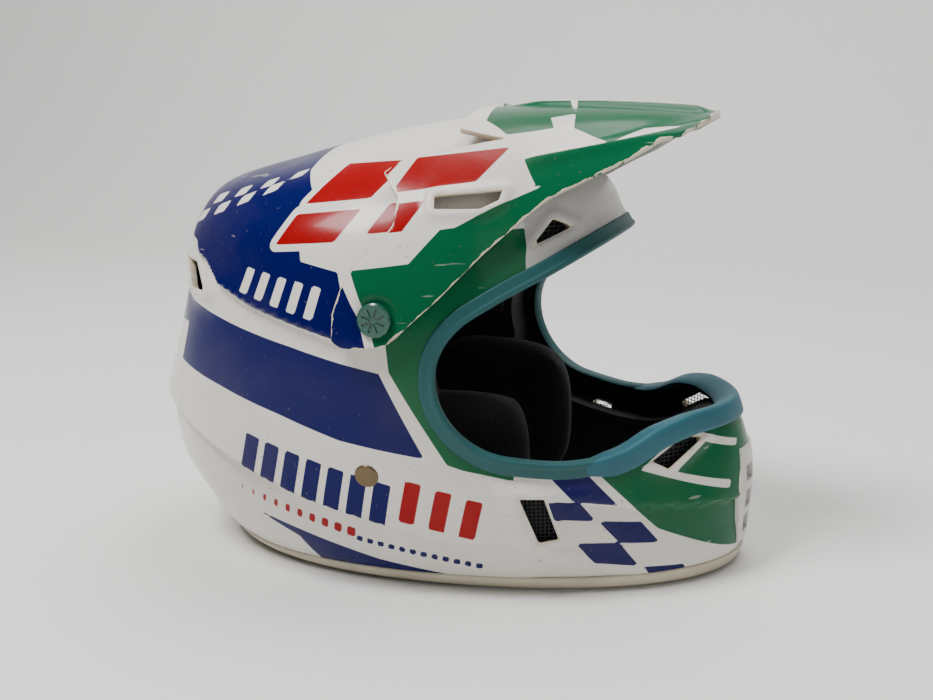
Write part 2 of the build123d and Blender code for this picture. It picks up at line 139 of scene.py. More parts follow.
def even_curve(points, count, closed):
    """Resample rows of points (…, n, 3) at count places evenly spaced along each row."""
    if closed:
        points = np.concatenate([points, points[:, :1]], axis=1)
    length = np.linalg.norm(np.diff(points, axis=1), axis=2)
    along = np.concatenate([np.zeros((len(points), 1)), np.cumsum(length, axis=1)], axis=1)
    result = []
    for row, a in zip(points, along):
        q = np.linspace(0, a[-1], count + 1)[:-1] if closed else np.linspace(0, a[-1], count)
        result.append(np.stack([np.interp(q, a, row[:, k]) for k in range(3)], axis=1))
    return np.array(result)


def shell_rings(heights, count):
    """Points round the shell at each height, starting at the rear, (rows, count, 3)."""
    rear, front, half_width, widest, rear_n, front_n = shell_row(heights)
    angle = np.linspace(0, 2 * np.pi, 1441)[:-1] + np.pi
    c, s = np.cos(angle)[None], np.sin(angle)[None]
    ahead = c > 0
    reach = np.where(ahead, (front - widest)[:, None], (widest - rear)[:, None])
    n = np.where(ahead, front_n[:, None], rear_n[:, None])
    x = widest[:, None] + reach * np.sign(c) * np.abs(c) ** (2 / n)
    y = half_width[:, None] * np.sign(s) * np.abs(s) ** (2 / n)
    z = np.broadcast_to(np.asarray(heights, float)[:, None], x.shape)
    return even_curve(np.stack([x, y, z], axis=2), count, True)


def inset(points, depth):
    """Points of the outer form moved inwards, as the CAD forms are."""
    return points * (1 - depth / np.array(FORM_HALF))


def visor_row(x):
    return [smooth_table(VISOR_ROWS[:, 0], VISOR_ROWS[:, j], x) for j in range(1, 5)]


def shell_y(x, z):
    """Half width of the shell at a place in side view."""
    rear, front, half_width, widest, rear_n, front_n = shell_row(z)
    ahead = x > widest
    reach = np.where(ahead, front - widest, widest - rear)
    n = np.where(ahead, front_n, rear_n)
    return half_width * np.clip(1 - (np.abs(x - widest) / reach) ** n, 0, 1) ** (1 / n)


def shell_x(y, z):
    """Front x of the shell at a place in front view."""
    front, half_width, widest, _, front_n = shell_row(z)[1:]
    share = np.clip(1 - (np.abs(y) / half_width) ** front_n, 0, 1)
    return widest + (front - widest) * share ** (1 / front_n)


def polygon_distance(px, pz, outline):
    """Signed distance to a polygon in mm, negative inside."""
    shape = np.shape(px)
    p = np.stack([np.ravel(px), np.ravel(pz)], axis=1)
    inside = np.zeros(len(p), bool)
    best = np.full(len(p), 1e9)
    for a, b in zip(outline, outline[1:] + outline[:1]):
        a, b = np.array(a, float), np.array(b, float)
        edge = b - a
        t = np.clip((p - a) @ edge / (edge @ edge), 0, 1)
        best = np.minimum(best, np.linalg.norm(p - a - t[:, None] * edge, axis=1))
        crosses = (a[1] > p[:, 1]) != (b[1] > p[:, 1])
        if a[1] != b[1]:
            at = a[0] + (p[:, 1] - a[1]) * edge[0] / edge[1]
            inside ^= crosses & (p[:, 0] < at)
    return np.where(inside, -best, best).reshape(shape)


def nearest(px, pz, outlines):
    return np.min([polygon_distance(px, pz, o) for o in outlines], axis=0)


def grown(outline, amount):
    cx, cz = np.mean(outline, axis=0)
    moved = []
    for x, z in outline:
        length = math.hypot(x - cx, z - cz)
        moved.append((x + (x - cx) * amount / length, z + (z - cz) * amount / length))
    return moved


def round_curve(points, per_span=8):
    """Smooth open curve through given points."""
    p = np.array(points, float)
    along = np.concatenate([[0], np.cumsum(np.linalg.norm(np.diff(p, axis=0), axis=1))])
    q = np.linspace(0, along[-1], per_span * len(p))
    columns = [smooth_table(along, p[:, k], q) for k in range(p.shape[1])]
    return [tuple(v) for v in np.stack(columns, axis=1)]


EYEPORT = round_curve(EYEPORT_CURVE) + [(260, 90), (260, 185)]


def step_over(value, width):
    """Smooth 0 to 1 as value goes from -width to width."""
    t = np.clip(value / (2 * width) + 0.5, 0, 1)
    return t * t * (3 - 2 * t)


def line_height(x, points):
    xs, zs = zip(*points)
    return np.interp(x, xs, zs)


# ---------------------------------------------------------------- meshes
def make_object(name, verts, faces, attributes=None):
    mesh = bpy.data.meshes.new(name)
    mesh.from_pydata([tuple(v) for v in np.asarray(verts) * MM], [], [tuple(map(int, f)) for f in faces])
    for key, values in (attributes or {}).items():
        mesh.attributes.new(key, "FLOAT", "POINT").data.foreach_set("value", np.asarray(values, np.float32))
    mesh.validate()
    obj = bpy.data.objects.new(name, mesh)
    bpy.context.scene.collection.objects.link(obj)
    return obj


def grid_faces(rows, columns, closed):
    """Quads of a grid of points; a closed grid joins its last column to its first."""
    across = columns if closed else columns - 1
    r, c = np.meshgrid(np.arange(rows - 1), np.arange(across), indexing="ij")
    n = (c + 1) % columns
    low, high = r * columns, (r + 1) * columns
    return np.stack([low + c, low + n, high + n, high + c], axis=2).reshape(-1, 4)


def grid_normals(points, closed):
    """Outward normals of a grid whose rows go up and whose columns go round."""
    if closed:
        across = np.roll(points, -1, axis=1) - np.roll(points, 1, axis=1)
    else:
        across = np.gradient(points, axis=1)
    up = np.gradient(points, axis=0)
    normal = np.cross(across, up)
    return normal / np.maximum(np.linalg.norm(normal, axis=2, keepdims=True), 1e-9)


def snap_to(points, normals, field, gradient, limit):
    """Slide points within limit of field = 0 along the surface on to it."""
    value = field(points)
    g = gradient(points)
    g = g - normals * np.sum(g * normals, axis=-1, keepdims=True)
    size = np.sum(g * g, axis=-1, keepdims=True)
    move = -value[..., None] * g / np.maximum(size, 0.15)
    near = (np.abs(value) < limit * np.sqrt(size[..., 0])) & (np.linalg.norm(move, axis=-1) < 2 * limit)
    return np.where(near[..., None], points + move, points)


def numeric_gradient(field):
    def gradient(points):
        result = np.zeros_like(points)
        for k in range(3):
            shift = np.zeros(3)
            shift[k] = 0.05
            result[..., k] = (field(points + shift) - field(points - shift)) / 0.1
        return result
    return gradient


def cut_faces(faces, value):
    """Keep the faces where value > 0, splitting those it crosses along their best diagonal."""
    v = value[faces]
    keep = faces[(v >= -0.02).all(axis=1) & (v.max(axis=1) > 0.02)]
    crossed = faces[(v.max(axis=1) > 0.02) & (v.min(axis=1) < -0.02)]
    w = np.abs(value[crossed])
    first = (w[:, 0] + w[:, 2] < w[:, 1] + w[:, 3])[:, None]
    a, b, c, d = crossed.T
    one = np.where(first, np.stack([a, b, c, c], 1), np.stack([a, b, d, d], 1))
    two = np.where(first, np.stack([a, c, d, d], 1), np.stack([b, c, d, d], 1))
    halves = np.vstack([one, two])
    return np.vstack([keep, halves[value[halves[:, :3]].mean(axis=1) > 0]])


def compact(points, faces, attributes):
    """Drop the points that no face uses."""
    used = np.unique(faces)
    index = np.full(len(points), -1)
    index[used] = np.arange(len(used))
    return points[used], index[faces], {k: v[used] for k, v in attributes.items()}


def thicken(obj, thickness, bevel=0.0):
    """Give an open sheet its wall, inwards from its outer face; the inner face takes the second slot."""
    obj.data.materials.append(None)
    obj.data.materials.append(None)
    wall = obj.modifiers.new("wall", "SOLIDIFY")
    wall.thickness = thickness * MM
    wall.offset = -1
    wall.use_even_offset = False
    wall.material_offset = 1
    if bevel:
        edge = obj.modifiers.new("edge", "BEVEL")
        edge.width = bevel * MM
        edge.segments = 2
        edge.limit_method = "ANGLE"
        edge.angle_limit = math.radians(50)


def settle(obj, sharp=35.0):
    """Apply the modifiers and shade smooth with crisp edges."""
    depsgraph = bpy.context.evaluated_depsgraph_get()
    mesh = bpy.data.meshes.new_from_object(obj.evaluated_get(depsgraph))
    obj.modifiers.clear()
    obj.data = mesh
    mesh.shade_smooth()
    if sharp:
        mesh.set_sharp_from_angle(angle=math.radians(sharp))
    return obj


def sweep_profile(name, path, normals, profile, closed, scale=None):
    """Sweep a closed profile of (across, out) points along a path that lies on the shell."""
    path, normals = np.asarray(path), np.asarray(normals)
    if closed:
        tangent = np.roll(path, -1, axis=0) - np.roll(path, 1, axis=0)
    else:
        tangent = np.gradient(path, axis=0)
    tangent /= np.linalg.norm(tangent, axis=1, keepdims=True)
    across = np.cross(tangent, normals)
    across /= np.linalg.norm(across, axis=1, keepdims=True)
    outward = np.cross(across, tangent)
    size = np.ones((len(path), 2)) if scale is None else np.asarray(scale)
    rings = []
    for u, v in profile:
        rings.append(path + across * u * size[:, :1] + outward * v * size[:, 1:])
    points = np.array(rings).transpose(1, 0, 2)
    faces = grid_faces(len(path), len(profile), True).tolist()
    count = len(profile)
    if closed:
        last = (len(path) - 1) * count
        faces += [[last + k, last + (k + 1) % count, (k + 1) % count, k] for k in range(count)]
    else:
        faces.append(list(range(count))[::-1])
        faces.append([(len(path) - 1) * count + k for k in range(count)])
    obj = make_object(name, points.reshape(-1, 3), faces)
    fix = bmesh.new()
    fix.from_mesh(obj.data)
    bmesh.ops.recalc_face_normals(fix, faces=fix.faces)
    fix.to_mesh(obj.data)
    fix.free()
    return obj


# ---------------------------------------------------------------- paint layout, side view (x, z)
CROWN_BLUE = [
    (-15, 140), (-28, 137), (-80, 149), (-102, 157), (-112, 167), (-122, 177), (-180, 192), (-180, 250),
    (-64, 250), (-60, 216), (-58, 214), (-41, 197), (-51, 187), (-48, 174), (-27, 170), (-25, 163),
]
MID_BLUE = [
    (-180, 152), (-136, 146), (-87, 137), (-54, 131), (-26, 125), (-5, 121), (17, 78), (-27, 85),
    (-62, 95), (-102, 104), (-139, 110), (-135, 131), (-180, 126),
]
LOWER_BLUE = [(-88, 34), (-59, 27), (-14, 15), (20, 9), (26, 0), (-45, 0), (-61, 22)]
CHECKS = [
    [(77, 67), (95, 67), (109, 50), (88, 54)],
    [(76, 54), (91, 53), (99, 42), (79, 44)],
    [(100, 42), (120, 40), (129, 27), (110, 29)],
    [(89, 30), (110, 29), (119, 15), (98, 18)],
    [(121, 14), (140, 12), (144, 1), (125, 6)],
]
CHEEK_GREEN = [
    (0, 122), (28, 75), (36, 72), (60, 66), (60, 120), (63, 173), (59, 191), (30, 189), (0, 176),
    (-12, 160), (-2, 139),
]
CHIN_GREEN = [
    (94, 72), (100, 67), (114, 51), (128, 35), (166, 13), (166, 27), (163, 46), (164, 57), (175, 60),
    (175, 110), (94, 110),
]
CHIN_FANG = [
    (118, 68), (139, 85.5), (162, 73), (162, 69.5), (147, 77), (134.5, 64.5), (160, 53.5), (159, 49.5),
]
# Grey over the brow under the peak is painted shade: the white shell paint is dimmed where the peak's shade
# falls.
BROW_PAINTED_SHADE = [(63, 165), (59, 191), (48, 230), (120, 230), (120, 165)]
SHARDS = [
    [(-38, 220), (-4, 223), (-17, 205), (-52, 201)],
    [(-55, 196), (-20, 200), (-31, 184), (-64, 181)],
    [(4, 225), (48, 230), (36, 214), (-4, 208.5)],
    [(-6, 203), (14, 205.5), (5, 191), (-15, 188.5)],
]
VISOR_GREEN = [
    (-3, 130), (-10, 151), (-19, 172), (10, 176), (24, 193), (64, 212), (56, 224), (94, 231), (127, 238),
    (150, 245),
    (150, 225), (60, 175), (10, 130),
]
VISOR_BLUE = [(-32, 130), (-8, 130), (-14, 150), (-23, 166), (-32, 168)]
SCOOP_WHITE = [(5, 206), (20, 208), (68, 212), (57, 207), (45, 201), (30, 193), (16, 191), (17, 200)]
# top of the peak, (x, y) for the right half
TOP_FRONT = [(70, -6), (76, -46), (96, -54), (112, -40), (146, -34), (150, -6)]
TOP_REAR = [(26, -10), (30, -48), (44, -60), (66, -48), (62, -38), (74, -30), (66, -8)]


def slanted_bars(start, end, count, width, height, slant):
    """Parallelograms standing along the line from start to end."""
    bars = []
    for i in range(count):
        t = i / (count - 1)
        x, z = start[0] + (end[0] - start[0]) * t, start[1] + (end[1] - start[1]) * t
        w, h = width[0] + (width[1] - width[0]) * t, height[0] + (height[1] - height[0]) * t
        drop = (end[1] - start[1]) / (end[0] - start[0]) * w
        bars.append([(x, z), (x + w, z + drop), (x + w + slant, z + drop + h), (x + slant, z + h)])
    return bars


SIDE_BARS = slanted_bars((-88, 60), (-14, 41), 7, (8.5, 8.5), (22, 24), 5)
RED_BARS = slanted_bars((2, 44), (32, 37), 3, (8, 8), (22, 20), 5)
RED_TICKS = slanted_bars((-95, 45), (-30, 29), 10, (1.2, 4.6), (4, 6), 1.5)
SMALL_DASHES = slanted_bars((-25, 26), (38, 14.5), 12, (3.4, 3.4), (3.4, 3.4), 1)
CROWN_BARS = slanted_bars((-84, 156), (-44, 147), 5, (5, 5), (13, 16), 4)
CROWN_CHECKS = slanted_bars((-130, 184), (-82, 203), 4, (8, 8), (6, 4.5), 2)
CROWN_CHECKS += slanted_bars((-120, 195), (-70, 211), 4, (8, 7), (5, 3.5), 2)
LOWER_CREASE = [(-175, 92), (-148, 83), (-86, 61), (-51, 50), (-4, 39), (20, 33), (81, 30), (175, 20)]
UPPER_LEDGE = [(-140, 180), (-111, 168), (-101, 157), (-79, 150), (-27, 137), (-13, 136)]
VENTS = {"side_vent": SIDE_VENT, "chin_vent": CHIN_VENT, "brow_vent": BROW_VENT, "rear_vent": REAR_VENT}


# ---------------------------------------------------------------- shell
def opening_field(p):
    """Signed distance to the nearest opening of the shell, negative inside it."""
    x, y, z = p[..., 0], p[..., 1], p[..., 2]
    mouth = [(u * 0.9, 41 + (v - 41) * 0.93) for u, v in MOUTH_VENT]
    front = np.where(x > 120, polygon_distance(y, z, mouth), 400.0)
    return np.minimum(nearest(x, z, [EYEPORT, *VENTS.values()]), front)


def shell_relief(x, z):
    """Outward displacement in mm of the moulded creases, ledges, channel and vent lips."""
    over = z - line_height(x, LOWER_CREASE)
    swell = CREASE_SWELL * step_over(over - 0.6, 1.6) * np.exp(-np.maximum(over, 0) / 30)
    tuck = (swell - 0.8 * step_over(-over, 1.6)) * step_over(z - 15, 8) * step_over(60 - x, 14)
    above = z - line_height(x, UPPER_LEDGE)
    ledge = LEDGE_SWELL * step_over(above, 1.3) * np.exp(-np.maximum(above, 0) / 26)
    ledge = ledge * step_over(-14 - x, 8) * step_over(x + 134, 8)
    top_line = 59 - (x - 56) * 10 / 63
    bottom_line = 29 - (x - 69) * 11 / 51
    ahead = step_over(x - 66, 5)
    upper = INTAKE_SWELL * step_over(z - top_line, 1.6) * np.exp(-np.maximum(z - top_line, 0) / 16)
    lower = 1.8 * step_over(bottom_line - z, 1.6) * np.exp(-np.maximum(bottom_line - z, 0) / 9)
    channel = (upper + lower * np.clip(1 - (x - 78) / 60, 0, 1)) * ahead
    channel -= 0.8 * ahead * step_over(110 - x, 8)
    lips = np.zeros_like(x)
    for outline in VENTS.values():
        lips += VENT_LIP * np.exp(-((polygon_distance(x, z, outline) - 2.2) / 2.4) ** 2)
    intake = 2.6 * np.exp(-((polygon_distance(x, z, [(57, 60), (64, 60), (72, 31), (66, 30)])) / 5) ** 2)
    exhaust = EXHAUST_HOOD * np.exp(-(np.maximum(polygon_distance(x, z, REAR_VENT), 0) / 7) ** 2)
    clear = step_over(polygon_distance(x, z, EYEPORT) - 9, 3)
    return (tuck + ledge + channel + lips + intake + exhaust * (x < -90)) * clear


def shell_paint_fields(x, z):
    """Signed distances of each painted colour, mm."""
    return {
        "blue": nearest(x, z, [CROWN_BLUE, MID_BLUE, LOWER_BLUE, *CHECKS]),
        "green": nearest(x, z, [CHEEK_GREEN, CHIN_GREEN]),
        # painted shade on the brow under the peak
        "brow_shade": nearest(x, z, [BROW_PAINTED_SHADE]),
        "white": nearest(x, z, [CHIN_FANG, *CROWN_CHECKS, *CROWN_BARS]),
        "ink": nearest(x, z, [*SIDE_BARS, *SMALL_DASHES]),
        "mark": nearest(x, z, [*RED_BARS, *RED_TICKS]),
        "red": nearest(x, z, SHARDS),
    }


def build_shell():
    flat = np.arange(SHELL_FOOT, 196, STEP)
    w_low = math.sqrt(1 - flat[-1] / SHELL_HEIGHT)
    w = np.linspace(w_low, 0.035, int(120 / STEP))[1:]
    heights = np.concatenate([flat, SHELL_HEIGHT * (1 - w * w)])
    columns = int(870 / STEP)
    points = shell_rings(heights, columns)
    normals = grid_normals(points, True)
    gradient = numeric_gradient(opening_field)
    for _ in range(3):
        points = snap_to(points, normals, opening_field, gradient, 0.6 * STEP)
    x, z = points[..., 0], points[..., 2]
    fields = shell_paint_fields(x, z)
    fields["rim"] = opening_field(points)
    fields["crease"] = np.abs(z - line_height(x, LOWER_CREASE))
    moved = points + normals * shell_relief(x, z)[..., None]
    faces = cut_faces(grid_faces(len(heights), columns, True), fields["rim"].ravel())
    flat_points = moved.reshape(-1, 3)
    pole = len(flat_points)
    flat_points = np.vstack([flat_points, [6, 0, SHELL_HEIGHT - 0.2]])
    attributes = {k: np.append(v.ravel(), v.ravel()[-1]) for k, v in fields.items()}
    last = (len(heights) - 1) * columns
    cap = [(last + k, last + (k + 1) % columns, pole, pole) for k in range(columns)]
    used, faces, attributes = compact(flat_points, np.vstack([faces, cap]), attributes)
    faces = [f[:3] if f[2] == f[3] else f for f in faces.tolist()]
    shell = make_object("shell_skin", used, faces, attributes)
    thicken(shell, WALL, 0.6)
    return settle(shell)


# ---------------------------------------------------------------- peak
def visor_points():
    x = np.arange(-31, 148.5, STEP)
    half_width, rise, top, n = visor_row(x)
    angle = np.linspace(0, math.pi, 721)[None]
    c, s = np.cos(angle), np.sin(angle)
    power = (2 / n)[:, None]
    y = -half_width[:, None] * np.sign(c) * np.abs(c) ** power
    z = (top - rise)[:, None] + rise[:, None] * np.abs(s) ** power
    rows = np.stack([np.broadcast_to(x[:, None], y.shape), y, z], axis=2)
    return even_curve(rows, int(520 / STEP), False)


def visor_field(p):
    edge = polygon_distance(p[..., 0], p[..., 2], VISOR_OUTLINE)
    scoop = polygon_distance(p[..., 0], p[..., 2], VISOR_VENT)
    return np.maximum(edge, -scoop)


def visor_relief(x, y, z):
    """Ridges and hollows pressed into the peak, mm outwards."""
    lip = 1.8 * np.exp(-((polygon_distance(x, z, VISOR_VENT) - 1.5) / 3.0) ** 2)
    ahead = step_over(x - 40, 12)
    spine = 2.4 * step_over(13 - np.abs(y), 3) * ahead * step_over(138 - x, 6)
    ridge_line = line_height(x, [(40, 226), (61, 224), (94, 231), (127, 238), (150, 244)])
    ridge = 1.6 * np.exp(-((z - ridge_line) / 3.5) ** 2) * step_over(x - 58, 6)
    cup = -1.6 * np.exp(-(np.hypot(x - PIVOT[0], z - PIVOT[1]) / 11) ** 6) * (z < 175)
    return lip + spine + ridge + cup


def build_visor():
    points = visor_points()
    normals = -grid_normals(points, False)
    if np.mean(normals[:, normals.shape[1] // 2, 2]) < 0:
        normals = -normals
    gradient = numeric_gradient(visor_field)
    for _ in range(3):
        points = snap_to(points, normals, visor_field, gradient, 0.6 * STEP)
    x, y, z = points[..., 0], points[..., 1], points[..., 2]
    fields = {
        "green": np.minimum(nearest(x, z, [VISOR_GREEN]), nearest(x, -np.abs(y), [TOP_FRONT, TOP_REAR])
                            + 400 * (z < 228)),
        "blue": nearest(x, z, [VISOR_BLUE]),
        "white": nearest(x, z, [SCOOP_WHITE]),
        "red": nearest(x, z, SHARDS),
        "rim": -visor_field(points),
    }
    moved = points + normals * visor_relief(x, y, z)[..., None]
    rows, columns = points.shape[:2]
    faces = cut_faces(grid_faces(rows, columns, False)[:, ::-1], fields["rim"].ravel())
    attributes = {k: v.ravel() for k, v in fields.items()}
    used, faces, attributes = compact(moved.reshape(-1, 3), faces, attributes)
    faces = [f[:3] if f[2] == f[3] else f for f in faces.tolist()]
    visor = make_object("visor_skin", used, faces, attributes)
    fix = bmesh.new()
    fix.from_mesh(visor.data)
    bmesh.ops.recalc_face_normals(fix, faces=fix.faces)
    top = max(fix.faces, key=lambda f: f.calc_center_median().z)
    if top.normal.z < 0:
        bmesh.ops.reverse_faces(fix, faces=fix.faces)
    fix.to_mesh(visor.data)
    fix.free()
    thicken(visor, VISOR_WALL, 0.7)
    return settle(visor)


# ---------------------------------------------------------------- trims
def surface_normal(p):
    """Outward direction of the shell at points near its outer form."""
    result = np.zeros_like(p)

    def level(q):
        rear, front, half_width, widest, rear_n, front_n = shell_row(q[:, 2])
        ahead = q[:, 0] > widest
        reach = np.where(ahead, front - widest, widest - rear)
        n = np.where(ahead, front_n, rear_n)
        return (np.abs(q[:, 0] - widest) / reach) ** n + (np.abs(q[:, 1]) / half_width) ** n
    for k in range(3):
        shift = np.zeros(3)
        shift[k] = 0.2
        result[:, k] = level(p + shift) - level(p - shift)
    return result / np.linalg.norm(result, axis=1, keepdims=True)


def eyeport_path(count):
    """Closed path of the eyeport's edge on the shell, and its outward normals."""
    curve = np.array(round_curve(EYEPORT_CURVE, 40))
    ends = [(float(shell_x(np.array(0.0), np.array(z))), z) for z in (185.0, 90.0)]
    curve = np.vstack([[ends[0]], curve, [ends[1]]])
    along = np.concatenate([[0], np.cumsum(np.linalg.norm(np.diff(curve, axis=0), axis=1))])
    q = along[-1] * (1 - np.cos(np.linspace(0, np.pi, 600))) / 2
    x, z = np.interp(q, along, curve[:, 0]), np.interp(q, along, curve[:, 1])
    right = np.stack([x, -shell_y(x, z), z], axis=1)
    left = right[::-1] * np.array([1, -1, 1])
    path = even_curve(np.vstack([right, left[1:-1]])[None], count, True)[0]
    for _ in range(6):
        path = (np.roll(path, 1, axis=0) + 2 * path + np.roll(path, -1, axis=0)) / 4
    middle = np.abs(path[:, 1]) < 45
    path[middle, 0] = shell_x(path[middle, 1], path[middle, 2])
    return path, surface_normal(path)


def build_trims():
    path, normals = eyeport_path(420)
    band = [(-2.4, -7), (-3.0, -1), (-2.8, 0.9), (-1.8, 1.9), (-0.6, 2.1), (0.4, 1.5), (1.2, 1.4),
            (4.8, 1.5), (5.6, 1.2), (5.8, 0.4), (5.8, -1.2), (0.4, -1.2), (0.2, -7)]
    away = across_sign(path, normals)
    trim = sweep_profile("eyeport_band", path, normals, [(u * away, v) for u, v in band], True)
    lower = (path[:, 0] > NOSE_GUARD_START - 8) & (path[:, 2] < 110)
    start = int(np.argmax(lower & ~np.roll(lower, 1)))
    chin = np.roll(np.arange(len(path)), -start)[:int(lower.sum())]
    guard = [(-2.2, -12), (-3.6, -2), (-3.6, 1.2), (-2.6, 2.6), (-1.2, 3.2), (3.0, 3.0), (7.4, 2.6),
             (8.4, 1.9), (8.8, 0.6), (8.8, -1.0), (0.6, -1.0), (0.8, -12)]
    t = np.linspace(-1, 1, len(chin))
    size = 0.35 + 0.65 * np.clip((1 - np.abs(t)) / 0.14, 0, 1) ** 0.6
    nose = sweep_profile("nose_guard_pad", path[chin], normals[chin], [(u * away, v) for u, v in guard],
                         False, np.stack([size, size], axis=1))
    ring = shell_rings(np.array([2.0, 5.2]), 420)[1]
    rim = [(-4.6, -6.6), (-4.9, -1), (-4.4, 1.0), (-2.5, 1.9), (2.0, 1.9), (4.2, 1.4), (4.8, 0.3),
           (4.8, -0.8), (-0.5, -1.0), (-0.8, -6.6)]
    low = surface_normal(ring)
    down = across_sign_z(ring, low)
    edge = sweep_profile("neck_edge_roll", ring, low, [(u * down, v) for u, v in rim], True)
    result = []
    for obj in (trim, nose, edge):
        smooth = obj.modifiers.new("smooth", "SUBSURF")
        smooth.levels = 1
        result.append(settle(obj, 60))
    return result


def across_sign(path, normals):
    """+1 when the sweep's across direction leads away from the eyeport's middle."""
    tangent = np.roll(path, -1, axis=0) - np.roll(path, 1, axis=0)
    across = np.cross(tangent, normals)
    outward = path - np.array([110, 0, 130])
    return 1.0 if np.sum(across * outward) > 0 else -1.0


def across_sign_z(path, normals):
    tangent = np.roll(path, -1, axis=0) - np.roll(path, 1, axis=0)
    return 1.0 if np.sum(np.cross(tangent, normals)[:, 2]) > 0 else -1.0


# ---------------------------------------------------------------- vents
def gauze(name, outline, side, depth=3.2, pitch=2.1):
    """Woven wire gauze behind a vent: crossing round wires that pass over and under each other."""
    box = np.array(grown(outline, 2.5))
    lo, hi = box.min(axis=0), box.max(axis=0)
    verts, faces = [], []
    for k, (across, along) in enumerate(((0, 1), (1, 0))):
        for level in np.arange(lo[across], hi[across], pitch):
            q = np.arange(lo[along], hi[along], pitch / 4)
            x, z = (np.full_like(q, level), q) if across == 0 else (q, np.full_like(q, level))
            keep = polygon_distance(x, z, grown(outline, 2.5)) < 0
            if keep.sum() < 3:
                continue
            x, z = x[keep], z[keep]
            phase = round((level - lo[across]) / pitch) % 2
            q = q[keep]
            wave = 0.28 * np.cos(np.pi * (q - lo[along]) / pitch + np.pi * (phase + k))
            base = inset(np.stack([x, side * shell_y(x, z), z], axis=1), depth)
            normal = surface_normal(base)
            base = base + normal * wave[:, None]
            tangent = np.gradient(base, axis=0)
            tangent /= np.linalg.norm(tangent, axis=1, keepdims=True)
            beside = np.cross(tangent, normal)
            first = len(verts)
            for p, b, n in zip(base, beside, normal):
                for a in range(4):
                    t = math.pi / 2 * a
                    verts.append(p + 0.3 * (b * math.cos(t) + n * math.sin(t)))
            for i in range(len(base) - 1):
                for a in range(4):
                    r, s = first + 4 * i, (a + 1) % 4
                    faces.append((r + a, r + s, r + 4 + s, r + 4 + a))
    return settle(make_object(name, verts, faces), 0)


# ---------------------------------------------------------------- soft pieces
def round_corners(verts):
    """Draw a cheek pad's outline in side view in to a squircle, (n, 3) in metres."""
    middle, half = np.array([8, 60.5]) * MM, np.array([50, 43.5]) * MM
    side = (verts[:, [0, 2]] - middle) / half
    size = np.sum(np.abs(side) ** 3, axis=1, keepdims=True) ** (1 / 3)
    verts[:, [0, 2]] = middle + side / np.maximum(size, 1) * half
    return verts


def soften(cad, name, voxel, plump):
    """Stuffed copy of a CAD pad: remeshed, blown up a little as cloth, held close to the pad's room."""
    obj = bpy.data.objects.new(name, cad.data.copy())
    bpy.context.scene.collection.objects.link(obj)
    obj.data.materials.clear()
    remesh = obj.modifiers.new("remesh", "REMESH")
    remesh.mode = "VOXEL"
    remesh.voxel_size = voxel * MM
    settle(obj, 0)
    start = np.zeros(len(obj.data.vertices) * 3, np.float32)
    obj.data.vertices.foreach_get("co", start)
    if "cheek" in name:
        start = round_corners(start.reshape(-1, 3).astype(float)).ravel().astype(np.float32)
        obj.data.vertices.foreach_set("co", start)
    puff(obj)
    now = np.zeros_like(start)
    obj.data.vertices.foreach_get("co", now)
    move = (now - start).reshape(-1, 3)
    size = np.linalg.norm(move, axis=1, keepdims=True)
    move *= np.minimum(1, plump * MM / np.maximum(size, 1e-9))
    obj.data.vertices.foreach_set("co", (start + move.ravel()).astype(np.float32))
    relax = obj.modifiers.new("relax", "SMOOTH")
    relax.iterations = 26
    relax.factor = 0.5
    rounder = obj.modifiers.new("rounder", "SUBSURF")
    rounder.levels = 1
    return settle(obj, 0)


def puff(obj):
    """Blow the closed skin up as cloth for a short time and keep the result."""
    cloth = obj.modifiers.new("cloth", "CLOTH")
    cloth.settings.use_pressure = True
    cloth.settings.uniform_pressure_force = CLOTH_PRESSURE
    cloth.settings.effector_weights.gravity = 0
    cloth.point_cache.frame_start = 1
    cloth.point_cache.frame_end = CLOTH_FRAMES
    scene = bpy.context.scene
    for number in range(1, CLOTH_FRAMES + 1):
        scene.frame_set(number)
        bpy.context.view_layer.update()
    settle(obj, 0)
    scene.frame_set(1)


def strap(name, route, radius_steps=6):
    """Flat webbing with woven ribs along a (y, z) route at the rivet's x; lengths in mm."""
    path = np.array(route, float)
    for _ in range(radius_steps // 2):
        a, b = path[:-1], path[1:]
        cut = np.stack([a * 0.75 + b * 0.25, a * 0.25 + b * 0.75], axis=1).reshape(-1, 2)
        path = np.vstack([path[:1], cut[1:-1], path[-1:]])
    along = np.concatenate([[0], np.cumsum(np.linalg.norm(np.diff(path, axis=0), axis=1))])
    q = np.arange(0, along[-1], 0.55)
    path = np.stack([np.interp(q, along, path[:, k]) for k in range(2)], axis=1)
    tangent = np.gradient(path, axis=0)
    tangent /= np.linalg.norm(tangent, axis=1, keepdims=True)
    normal = np.stack([-tangent[:, 1], tangent[:, 0]], axis=1)
    across = np.linspace(-STRAP_WIDTH / 2, STRAP_WIDTH / 2, 37)
    verts = []
    for i, (p, n) in enumerate(zip(path, normal)):
        for side in (1, -1):
            for j, w in enumerate(across[::side]):
                rib = 0.12 * math.cos(math.pi * (i + j * side)) + 0.16 * math.cos(w * 2 * math.pi / 3.3)
                half = (0.62 if abs(w) < 9.9 else 0.3) + rib
                verts.append((STRAP_X + w, *(p + n * half * side)))
    ring = 2 * len(across)
    faces = grid_faces(len(path), ring, True).tolist()
    faces.append(list(range(ring))[::-1])
    faces.append([(len(path) - 1) * ring + k for k in range(ring)])
    return settle(make_object(name, verts, faces), 70)


# ---------------------------------------------------------------- materials
def srgb(r, g, b):
    linear = [((v / 255 + 0.055) / 1.055) ** 2.4 if v > 10 else v / 3295 for v in (r, g, b)]
    return (*linear, 1.0)


# The second colour is the white dimmed to grey: painted shade for the brow under the peak.
WHITE, BROW_SHADE_GREY, NAVY = srgb(224, 219, 211), srgb(186, 184, 180), srgb(2, 6, 80)
GREEN, RED, CREAM = srgb(3, 88, 54), srgb(150, 2, 10), srgb(214, 203, 178)


